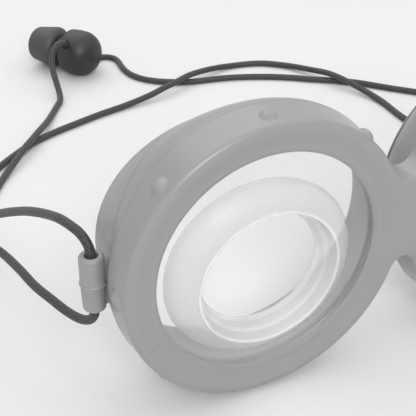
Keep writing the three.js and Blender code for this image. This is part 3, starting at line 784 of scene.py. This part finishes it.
def clear_polycarbonate():
    """Hard-coated polycarbonate: clear, with a sharp gloss, and faint wiping marks that vary its roughness.
    It lets lamp light through to what is behind it, which a refracting shader would hold back."""
    finish, tree = new_finish(
        "clear polycarbonate", Base_Color=colour("FCFCFC"), IOR=1.585, Transmission_Weight=1.0)
    roughened(tree, noise(tree, size_mm=9, detail=4.0), 0.0, 0.03)
    lamp_ray = add(tree, "LightPath").outputs["Is Shadow Ray"]
    through = add(tree, "BsdfTransparent").outputs[0]
    both = add(tree, "MixShader", {0: lamp_ray, 1: tree.nodes[SHADER].outputs[0], 2: through})
    tree.links.new(both.outputs[0], tree.nodes["Material Output"].inputs["Surface"])
    return finish


pair("lens_disc", lens(), clear_polycarbonate(), "lens")

# %% Seal finish on the CAD rings


def nitrile_rubber():
    """Moulded nitrile rubber: black, matt, with a fine dusty mottle."""
    finish, tree = new_finish("nitrile rubber", Roughness=0.7)
    shaded(tree, noise(tree, size_mm=2, detail=3.0), [(0, "232325"), (1, "343437")])
    return finish


rubber = nitrile_rubber()
for side in ("left", "right"):
    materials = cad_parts[f"{side}_lens_seal"].data.materials
    materials.clear()
    materials.append(rubber)
print("seals keep their CAD rings, in", rubber.name)

# %% [markdown]
# ## The rear shells and their strap barrels
#
# The shell is a round cup that slips into the frame's skirt. It is shallow at the nose and deep at the
# temple, so that it follows the face. A loop of stations goes round its wall, each a radius and a depth in
# every direction, and the loop is carried round the lens axis. The strap barrel is turned about an upright
# axis, with a parting ridge half way and a tapered foot, and a web that spreads into the shell carries it.

# %% Shell cup
SHELL_FRONT = 2.9
FRONT_ROUND = 0.8
LIP_RADIUS = 24.6
LIP_BACK = 4.1
LIP_EASE = 0.2
LIP_FILLET = 0.6
SLIP_UNDER = 1.3
SEAM_STEP = 0.2
BARREL_RECESS = (13, 16)
SLIP_STEPS, OUTER_STEPS, RIM_STEPS, INNER_STEPS = 9, 11, 10, 5


def shell_cup():
    """The cup as a closed loop in every direction: the lens lip, a slip wall under the frame up to the seam,
    a rounded edge there, the eyecup's outer wall, a round rear rim and the inside. Beside the barrel the
    outer wall steps back to a plain taper."""
    slip = [skirt_y + way * (seam_y + SEAM_GAP - skirt_y) for way in shares(SLIP_STEPS)]
    edge_y = seam_y + SEAM_GAP + SEAM_ROUND
    beside = smoothstep(FROM_TEMPLE, *BARREL_RECESS)

    def outer(way):
        """Radius and depth of the outer wall at a share of the way from the seam's edge to the rear rim."""
        y = edge_y + way * (rear_y - edge_y)
        plain = SHELL_RADIUS + way * (rear_radius - SHELL_RADIUS)
        return plain + (eyecup_wall(y) - SEAM_STEP * (1 - way) - plain) * beside, y

    edge = outer(0)[0]
    inner_top, inner_y = rear_radius - SHELL_WALL, LIP_BACK + LIP_FILLET
    wall_in = SHELL_RADIUS - SHELL_WALL
    stations = [(LIP_RADIUS, LIP_BACK - LIP_EASE), (LIP_RADIUS, SHELL_FRONT + LIP_EASE)]
    stations += [(LIP_RADIUS + LIP_EASE, SHELL_FRONT)]
    stations += list(rounded(SHELL_RADIUS, SHELL_FRONT, FRONT_ROUND, -90, 0))
    stations += [(np.minimum(SHELL_RADIUS, eyecup_wall(y) - SLIP_UNDER), y) for y in slip]
    stations += [(edge + r, edge_y + y) for r, y in arc(-SEAM_ROUND, 0, SEAM_ROUND, -90, 0, 4)]
    stations += [outer(way) for way in shares(OUTER_STEPS)[1:-1]]
    stations += [(rear_radius + r, rear_y + y) for r, y in arc(-SHELL_RIM, 0, SHELL_RIM, 0, 180, RIM_STEPS)]
    for way in shares(INNER_STEPS)[1:-1]:
        stations.append((inner_top + way * (wall_in - inner_top), rear_y + way * (inner_y - rear_y)))
    stations += list(rounded(wall_in, LIP_BACK, LIP_FILLET, 0, -90))
    return turned_loop(stations + [(LIP_RADIUS + LIP_EASE, LIP_BACK)])


print("shell cup faces:", len(shell_cup()[1]))

# %% Barrel and web
BARREL_RADIUS = 2.45
BARREL_FOOT = 1.9
BARREL_RIDGE = 0.2
BARREL_HEIGHT = 12.3
BORE_RADIUS = 1.3
BARREL_TOP_ROUND = 0.75
BARREL_FOOT_ROUND = 0.9
FOOT_SETBACK = 0.55
RIDGE_TOP = [[0, 0.5], [0.04, 0.3]]
RIDGE_FOOT = [[-0.03, -0.35]]
MOUTH_ROUND = 0.25
FOOT_MOUTH_ROUND = 0.2
BARREL_STEPS = 56
WEB_THICKNESS = 2.6
WEB_REACH = 4.7
WEB_START = 0.3
WEB_SHORTER = 0.8
WEB_SPREAD_THICK, WEB_SPREAD_TALL = 1.2, 0.7
WEB_POWER = 5
WEB_STEPS, WEB_SIDES = 15, 48


def strap_barrel():
    """Turned about Z: a bore with eased mouths, a round top, a low ridge half way and a tapered foot."""
    top = BARREL_HEIGHT / 2
    outline = np.concatenate([
        rounded(BORE_RADIUS, top, MOUTH_ROUND, 180, 90, 4),
        rounded(BARREL_RADIUS, top, BARREL_TOP_ROUND, 90, 0),
        [BARREL_RADIUS, 0] + np.array(RIDGE_TOP),
        arc(BARREL_RADIUS, 0, BARREL_RIDGE, 60, -60, 6),
        [BARREL_RADIUS, 0] + np.array(RIDGE_FOOT),
        arc(BARREL_FOOT - FOOT_SETBACK, BARREL_FOOT_ROUND - top, BARREL_FOOT_ROUND, 5, -80, 8),
        rounded(BORE_RADIUS, -top, FOOT_MOUTH_ROUND, -90, -180, 4),
    ])
    return from_grid(revolved(outline, BARREL_STEPS)[..., [0, 2, 1]] + BARREL_FROM_EYE)


def barrel_web():
    """A plate with rounded edges from barrel to shell: its section is a superellipse, |y/a|^n + |z/b|^n = 1
    with n the WEB_POWER, and both half-widths grow as the cube of the way along, into the shell."""
    way = shares(WEB_STEPS)[:, None]
    angle = full_turn(WEB_SIDES)[None]
    thick = WEB_THICKNESS / 2 + WEB_SPREAD_THICK * way ** 3
    tall = BARREL_HEIGHT / 2 - WEB_SHORTER + WEB_SPREAD_TALL * way ** 3
    power = 2 / WEB_POWER
    y = thick * np.sign(np.cos(angle)) * np.abs(np.cos(angle)) ** power
    z = tall * np.sign(np.sin(angle)) * np.abs(np.sin(angle)) ** power
    x = np.broadcast_to(BORE_RADIUS + WEB_START + way * (WEB_REACH - BORE_RADIUS), y.shape)
    return from_grid(np.stack([x, y, z], axis=-1) + BARREL_FROM_EYE, wrap_rows=False)


shell = moved(joined(shell_cup(), strap_barrel(), barrel_web()), EYE)
shell_abs = moulded_plastic("moulded ABS, shell", "9C9C9C", "979797", 0.37)
pair("shell_moulding", shell, shell_abs, "rear_shell")

# %% [markdown]
# ## The inner rings
#
# Behind each lens sits a soft ring of frosted silicone, a little oval and set low. Its section is a thin
# wedge: a narrow lip at the lens, an outer face that flares backwards and a flat back. Frosted silicone is
# milky: some light passes straight through and the rest scatters. A refracting shader would darken it under
# a lens, so a pale matt surface that is half see-through stands for both. The ring's own map, of the turn
# and of the way round its section, lets flow lines and bands of painted highlight and painted shade follow
# it.

# %% Inner ring pieces
RING_WIDER = 0.9
RING_FRONT_RADIUS = 15.0
RING_FRONT_LIP = 0.7
RING_REAR_RADIUS = 18.9
RING_REAR_OPENING = 12.2
RING_FRONT = 2.8
RING_DEPTH = 4.6
RING_RIM = 0.5
RING_RIM_SETBACK = 0.05
RING_LIP_ROUND = 0.2
RING_EDGE_ROUND = 0.25
RING_BACK_ROUND = 0.3
RING_FLARE_BEND = 1.3
FLARE_STEPS, BORE_STEPS = 11, 11
RING_MIDDLE = np.array([1.0, 0, -4.6])
RING_LIP_SHIFT = np.array([0.65, 0, -1.0])
RING_STEPS = 144
FLOW_LINES = 26
FLOW_ROUND = 1.5
FLOW_DEPTH = 0.16
# Painted highlight and shade across the ring's section: light stops are painted highlights on the lip and
# edges, dark stops are painted shade lines.
SECTION_HIGHLIGHTS_AND_SHADE = [
    (0.0, "D2D2D2"), (0.16, "F6F6F6"), (0.3, "C2C2C2"), (0.46, "D4D4D4"), (0.64, "ECECEC"),
    (0.76, "BDBDBD"), (0.84, "DEDEDE"), (0.9, "C6C6C6"), (0.96, "E6E6E6"), (1.0, "CECECE"),
]


def inner_ring():
    """A wedge section turned about Y and widened in X, whose flared face is a quarter sine between lip and
    rim. It leans, so that the lip lies lower and nearer the nose. Also gives its section's point count."""
    share = shares(FLARE_STEPS)[:, None]
    flare_width = RING_REAR_RADIUS - RING_RIM_SETBACK - RING_FRONT_RADIUS
    flare_start = RING_FRONT + RING_EDGE_ROUND
    flare = np.concatenate([
        RING_FRONT_RADIUS + flare_width * np.sin(share * np.pi / 2),
        flare_start + (RING_DEPTH - RING_RIM - RING_EDGE_ROUND) * share ** RING_FLARE_BEND,
    ], axis=1)
    rear = RING_FRONT + RING_DEPTH
    lip = RING_FRONT_RADIUS - RING_FRONT_LIP
    bore_start = [RING_REAR_OPENING, rear - RING_BACK_ROUND]
    bore_end = [lip, RING_FRONT + RING_LIP_ROUND]
    outline = np.concatenate([
        rounded(lip, RING_FRONT, RING_LIP_ROUND, 180, 270, 4),
        rounded(RING_FRONT_RADIUS, RING_FRONT, RING_EDGE_ROUND, -90, 0, 4)[:-1],
        flare,
        rounded(RING_REAR_RADIUS, rear, RING_RIM, 10, 90),
        rounded(RING_REAR_OPENING, rear, RING_BACK_ROUND, 90, 180, 4),
        np.linspace(bore_start, bore_end, BORE_STEPS + 1)[1:-1],
    ])
    widen = [1 + RING_WIDER / RING_REAR_RADIUS, 1, 1]
    points, quads = from_grid(revolved(outline, RING_STEPS) * widen)
    points = points + (rear - points[:, 1:2]) / RING_DEPTH * RING_LIP_SHIFT
    return (points + RING_MIDDLE + EYE, quads), len(outline)


def ring_map(columns):
    """The ring's own map, at each quad's corners: the share of a turn, and of the way round its section."""
    row, column = corner_steps(RING_STEPS, columns)
    return np.stack([row / RING_STEPS, column / columns], axis=-1).reshape(-1, 4, 2)


def frosted_silicone():
    """Liquid-moulded silicone from a frosted mould: milky and half see-through, with a soft gloss that fine
    frost breaks up. Bands of painted highlight and painted shade follow the section, and noise drawn
    out round the ring bends them."""
    finish, tree = new_finish("frosted silicone", IOR=1.41, Alpha=0.44)
    place = add(tree, "UVMap").outputs[0]
    drawn_out = add(tree, "Mapping", {"Vector": place, "Scale": (FLOW_ROUND, FLOW_LINES, 1)}).outputs[0]
    flow = add(tree, "TexNoise", {"Vector": drawn_out, "Scale": 1.0, "Detail": 3.0}).outputs[0]
    section = add(tree, "SeparateXYZ", {0: place}).outputs[1]
    # Base colour: painted highlights and painted shade in bands across the section, bent by the flow noise.
    shaded(tree, calc(tree, "MULTIPLY_ADD", flow, FLOW_DEPTH, section), SECTION_HIGHLIGHTS_AND_SHADE)
    roughened(tree, noise(tree, size_mm=0.8, detail=2.0), 0.2, 0.32)
    return finish


ring_part, ring_columns = inner_ring()
pair("silicone_ring", ring_part, frosted_silicone(), "inner_ring", uv=ring_map(ring_columns))

# %% [markdown]
# ## The cord lock
#
# A cord lock is a cup with a cross hole and a sprung plunger. Pressing the knob lines the plunger's slot up
# with the hole, so the cord slides, and the spring then traps it again. Both pieces are turned shapes. A
# boolean cuts the cross hole, because a hole through a round wall has no simple grid.

# %% Cord lock shapes
LOCK_END = 7.9
LOCK_BORE_END = 6.7
LOCK_DOME = 6.0
LOCK_MOUTH = 2.8
LOCK_MOUTH_RADIUS = 7.0
STEM_RADIUS = 3.4
STEM_END = 2.5
KNOB_START = 6.0
KNOB_END = 16.5
KNOB_RADIUS = 6.6
KNOB_TIP_RADIUS = 5.6
KNOB_ROUND = 2.4
KNOB_DISH_RADIUS = 3.0
KNOB_DISH_DEPTH = 0.9
DISH_ROUND = 0.15
DISH_SLOPE = 0.9
LOCK_MOUTH_ROUND = 0.6
MOUTH_SLOPE = (0.1, 1.2)
STEM_GAP = 0.3
STEM_EASE = 0.2
LOCK_STEPS = 72
LOCK_AXES = np.stack([hole, stroke, np.cross(hole, stroke)])


def lock_part(outline):
    """An outline of (radius, along the stroke) points, turned and set on the lock's own axes."""
    points, quads = from_grid(revolved(outline, LOCK_STEPS), wrap_columns=False)
    return points @ LOCK_AXES + LOCK_MIDDLE, quads


body_part = lock_part(np.concatenate([
    [[0, -LOCK_END]],
    rounded(LOCK_RADIUS, -LOCK_END, LOCK_DOME, -90, 0, 12),
    [[LOCK_RADIUS, 0], [LOCK_MOUTH_RADIUS + MOUTH_SLOPE[0], LOCK_MOUTH - MOUTH_SLOPE[1]]],
    rounded(LOCK_MOUTH_RADIUS, LOCK_MOUTH, LOCK_MOUTH_ROUND, 5, 90),
    rounded(STEM_RADIUS + STEM_GAP, LOCK_MOUTH, STEM_GAP, 90, 180, 4),
    [[STEM_RADIUS + STEM_GAP, -LOCK_BORE_END], [0, -LOCK_BORE_END]],
]))
plunger_part = lock_part(np.concatenate([
    [[0, -STEM_END], [STEM_RADIUS - STEM_EASE, -STEM_END], [STEM_RADIUS, STEM_EASE - STEM_END]],
    [[STEM_RADIUS, KNOB_START - STEM_GAP], [STEM_RADIUS + STEM_GAP, KNOB_START]],
    rounded(KNOB_RADIUS, KNOB_START, KNOB_ROUND, -90, 0, 8),
    rounded(KNOB_TIP_RADIUS, KNOB_END, KNOB_ROUND, 0, 90, 8),
    arc(KNOB_DISH_RADIUS, KNOB_END - DISH_ROUND, DISH_ROUND, 90, 150, 3),
    [[KNOB_DISH_RADIUS - DISH_SLOPE, KNOB_END - KNOB_DISH_DEPTH], [0, KNOB_END - KNOB_DISH_DEPTH]],
]))
print("lock outlines turned:", len(body_part[1]), "and", len(plunger_part[1]), "faces")

# %% Cross hole and the lock pieces
HOLE_SIDES = 40
PLUNGER_TRAVEL = 2.2


def cross_hole(start, end):
    """A cutter along the hole: a round hole of the cord's bore, drawn out from one place to the other."""
    angle = full_turn(HOLE_SIDES)
    along = BORE_RADIUS * np.sin(angle) + np.where(np.sin(angle) >= 0, end, start)
    across = BORE_RADIUS * np.cos(angle)
    ends = 2 * LOCK_RADIUS * np.array([-1, -1, 1, 1])[:, None]
    size = np.array([0, 1, 1, 0])[:, None]
    middle = (start + end) / 2
    points = np.stack([
        np.broadcast_to(ends, (4, HOLE_SIDES)), middle + (along - middle) * size, across * size], axis=-1)
    return from_grid(points @ LOCK_AXES + LOCK_MIDDLE, wrap_rows=False)


def cut(target, cutter_part):
    """Subtracts a part from a piece with Blender's exact boolean. The result becomes the piece's mesh."""
    mesh = solid("cutter", cutter_part)
    cutter = put("cutter", mesh)
    work = target.modifiers.new("cross hole", "BOOLEAN")
    work.operation, work.solver, work.object = "DIFFERENCE", "EXACT", cutter
    bpy.context.view_layer.update()
    shaped = bpy.data.meshes.new_from_object(target.evaluated_get(bpy.context.evaluated_depsgraph_get()))
    target.modifiers.remove(work)
    old, target.data = target.data, shaped
    bpy.data.objects.remove(cutter)
    for unused in (old, mesh):
        bpy.data.meshes.remove(unused)
    smooth(shaped)
    print(f"{target.name}: {len(shaped.polygons)} faces with its hole")


lock_acetal = moulded_plastic("moulded acetal, lock", "222222", "1F1F1F", 0.45)
knob_acetal = moulded_plastic("moulded acetal, knob", "444444", "3F3F3F", 0.5)
lock_body = piece("cord_lock_cup", body_part, lock_acetal, ["cord_lock_body"])
lock_plunger = piece(
    "cord_lock_knob", plunger_part, knob_acetal, ["cord_lock_plunger"], "plunger")
cut(lock_body, cross_hole(0, 0))
cut(lock_plunger, cross_hole(0, PLUNGER_TRAVEL))

# %% [markdown]
# ## The spring, and the cord's facts
#
# A small coil spring lies between the plunger's stem and the bottom of the cup. It is a wire drawn along a
# coil. When the knob is pressed it closes up towards the bottom, and stays just clear of the stem.

# %% Spring, and the cord's facts
SPRING_WIRE = 0.5
SPRING_TURNS = 2.5
SPRING_LENGTH = 3.6
SPRING_END = 6.4
SPRING_STEPS = 89
SPRING_SIDES = 10


def lock_spring():
    """A round wire along a coil: a point that turns evenly about the stroke while it goes along it."""
    share = shares(SPRING_STEPS)[:, None]
    turned = 2 * np.pi * SPRING_TURNS * share
    radius = STEM_RADIUS - SPRING_WIRE
    along = SPRING_WIRE / 2 - SPRING_END + (SPRING_LENGTH - SPRING_WIRE) * share
    coil = np.concatenate([radius * np.cos(turned), along, radius * np.sin(turned)], axis=1)
    return from_grid(tube(coil @ LOCK_AXES + LOCK_MIDDLE, SPRING_WIRE / 2, SPRING_SIDES), wrap_rows=False)


def spring_steel():
    """Drawn spring wire: bright metal with faint drawing marks that vary the gloss."""
    finish, tree = new_finish("drawn spring steel", Base_Color=colour("B9BABC"), Metallic=1.0)
    roughened(tree, noise(tree, size_mm=0.5, detail=3.0), 0.2, 0.4)
    return finish


spring = piece("cord_lock_coil", lock_spring(), spring_steel(), ["cord_lock_spring"])
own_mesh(spring)

# %% [markdown]
# ## Floor and light
#
# The goggles stand on white paper under one very large soft lamp, so that tops are bright, fronts are mid
# grey and shadows are wide and faint. A lamp in front, on the camera's side, lifts the faces and draws a
# thin light line along the crest, and one behind puts a soft gloss on the upper walls and the nubs. The
# world gives the fill, and camera, mirror and lens rays see it as the same pale white as the floor.

# %% Floor
FLOOR_HALF = 900


def studio_paper():
    """Matt white paper with a faint, wide mottle."""
    finish, tree = new_finish("white studio paper", Roughness=0.9)
    shaded(tree, noise(tree, size_mm=120, detail=2.0), [(0, "EEEEEE"), (1, "F1F1F1")])
    return finish


floor_corners = np.array([(-1, -1, 0), (1, -1, 0), (1, 1, 0), (-1, 1, 0)]) * FLOOR_HALF * MM
floor_mesh = bpy.data.meshes.new("floor")
floor_mesh.from_pydata(floor_corners.tolist(), [], [(0, 1, 2, 3)])
floor_mesh.materials.append(studio_paper())
floor = put("floor", floor_mesh)
print("floor:", 2 * FLOOR_HALF, "mm square")

# %% Lamps and world
FILL = 0.41
BACKDROP = colour("F0F0F0")
# Name, place and width in metres, power in watts.
SOFTBOXES = [
    ("overhead softbox", (0.1, 0, 1.1), 2.4, 10.6),
    ("front softbox", (-0.3, -0.95, 0.75), 0.5, 6.2),
    ("rear softbox", (0.05, 0.8, 0.95), 1.1, 2.9),
]


def soft_lamp(name, place, width, power):
    """A square lamp that looks at the goggles, with one side as near to X as it can be."""
    lamp = put(name, bpy.data.lights.new(name, "AREA"))
    lamp.data.size = width
    lamp.data.energy = power
    back = np.array(place) / np.linalg.norm(place)
    side = np.array([1.0, 0, 0]) - back[0] * back
    side /= np.linalg.norm(side)
    stand(lamp, side, np.cross(back, side), back, place)


for softbox in SOFTBOXES:
    soft_lamp(*softbox)

world = bpy.data.worlds.new("studio")
bpy.context.scene.world = world
world.use_nodes = True
tree = world.node_tree
rays = add(tree, "LightPath").outputs
seen = rays["Is Camera Ray"]
for ray in ("Is Glossy Ray", "Is Transmission Ray"):
    seen = calc(tree, "MAXIMUM", seen, rays[ray])
strength = add(tree, "MapRange", {0: seen, 3: FILL, 4: 1.0})
background = tree.nodes["Background"]
background.inputs["Color"].default_value = BACKDROP
tree.links.new(strength.outputs[0], background.inputs["Strength"])
bpy.context.scene.view_settings.view_transform = "Standard"
print("lamps:", [name for name, *_ in SOFTBOXES], "world fill:", FILL)
